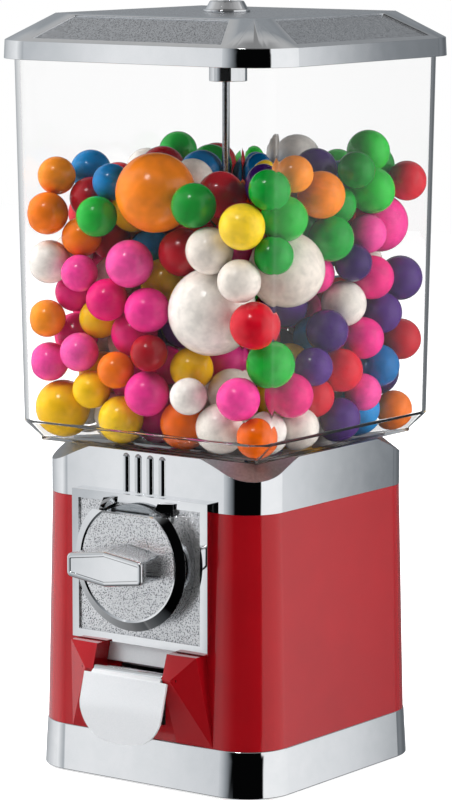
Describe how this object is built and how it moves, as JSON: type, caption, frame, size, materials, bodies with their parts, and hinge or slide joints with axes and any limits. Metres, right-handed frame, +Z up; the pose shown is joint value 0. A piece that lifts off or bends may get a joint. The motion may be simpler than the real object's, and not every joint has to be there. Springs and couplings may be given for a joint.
{
  "type": "gumball machine",
  "caption": "Table-top gumball vending machine: square clear globe under a lift-off lid, coin mechanism with a turning handle, dispensing wheel, chute and hinged flap.",
  "frame": {"origin": "on the centre rod's axis, at the level of the surface that the rubber feet stand on", "axes": "+Z up along the centre rod; the coin mechanism and the flap face -Y; +X to the right seen from the front"},
  "size_m": [0.1846, 0.2009, 0.4115],
  "materials": {
    "chrome": "polished chrome plate on die-cast zinc, grained in its recessed panels",
    "steel": "zinc-plated steel",
    "zinc_casting": "die-cast, plated, with a fine grain",
    "brass": "turned brass",
    "red_enamel": "glossy red enamel on die-cast metal",
    "rubber": "moulded rubber",
    "clear_plastic": "clear moulded polycarbonate",
    "wheel_plastic": "moulded black plastic",
    "gum_white": "sugar-coated gum",
    "gum_pink": "sugar-coated gum",
    "gum_red": "sugar-coated gum",
    "gum_orange": "sugar-coated gum",
    "gum_yellow": "sugar-coated gum",
    "gum_green": "sugar-coated gum",
    "gum_blue": "sugar-coated gum",
    "gum_purple": "sugar-coated gum"
  },
  "bodies": {
    "cabinet": {"base_trim": "chrome", "base_plate": "steel", "rubber_feet": "rubber", "body_shell": "red_enamel", "collar": "chrome", "globe": "clear_plastic", "centre_rod": "steel", "rod_nuts": "steel", "centre_tube": "zinc_casting", "wheel_floor": "zinc_casting", "wheel_cover": "steel", "brush_strip": "wheel_plastic", "cover_screw": "steel", "ball_pipe": "zinc_casting", "ball_ramp": "zinc_casting", "ball_chute": "zinc_casting", "chute_hood": "chrome", "flap_pin": "steel", "cash_box": "steel", "coin_chute": "zinc_casting", "face_plate": "zinc_casting", "dial": "zinc_casting", "shaft_bushes": "brass", "pawl_pin": "steel", "mech_back_plate": "steel", "mech_spacers": "zinc_casting", "mech_screws": "steel", "mech_clamp_bar": "steel", "gumballs_white": "gum_white", "gumballs_pink": "gum_pink", "gumballs_red": "gum_red", "gumballs_orange": "gum_orange", "gumballs_yellow": "gum_yellow", "gumballs_green": "gum_green", "gumballs_blue": "gum_blue", "gumballs_purple": "gum_purple"},
    "handle": {"handle_bar": "zinc_casting", "drive_shaft": "steel", "coin_carrier": "steel", "ratchet_wheel": "steel", "drive_gear": "brass", "shaft_nut": "steel"},
    "wheel": {"dispensing_wheel": "wheel_plastic", "gumballs_in_wheel": "gum_orange"},
    "pawl": {"pawl": "steel", "pawl_spring": "steel"},
    "flap": {"chute_flap": "chrome"},
    "lid": {"lid": "chrome", "lock_body": "chrome"},
    "lock": {"lock_plug": "steel"}
  },
  "joints": [
    {"name": "handle_turn", "type": "hinge", "parent": "cabinet", "child": "handle", "pos_m": [0, 0, 0.121], "axis": [0, 1, 0], "continuous": true},
    {"name": "wheel_turn", "type": "hinge", "parent": "cabinet", "child": "wheel", "pos_m": [0, 0, 0.15], "axis": [0, 0, 1], "continuous": true},
    {"name": "pawl_swing", "type": "hinge", "parent": "cabinet", "child": "pawl", "pos_m": [-0.024, -0.07, 0.126], "axis": [0, -1, 0], "range_deg": [0, 10], "stiffness_Nm_per_rad": 0.02, "springref_deg": -11.46},
    {"name": "flap_swing", "type": "hinge", "parent": "cabinet", "child": "flap", "pos_m": [0, -0.0863, 0.0622], "axis": [-1, 0, 0], "range_deg": [0, 80]},
    {"name": "lid_lift", "type": "slide", "parent": "cabinet", "child": "lid", "axis": [0, 0, 1], "range_m": [0, 0.07]},
    {"name": "lock_turn", "type": "hinge", "parent": "lid", "child": "lock", "pos_m": [0, 0, 0.4], "axis": [0, 0, 1], "continuous": true}
  ],
  "couplings": [
    {"joint": "wheel_turn", "follows": "handle_turn", "ratio": 0.16667}
  ]
}
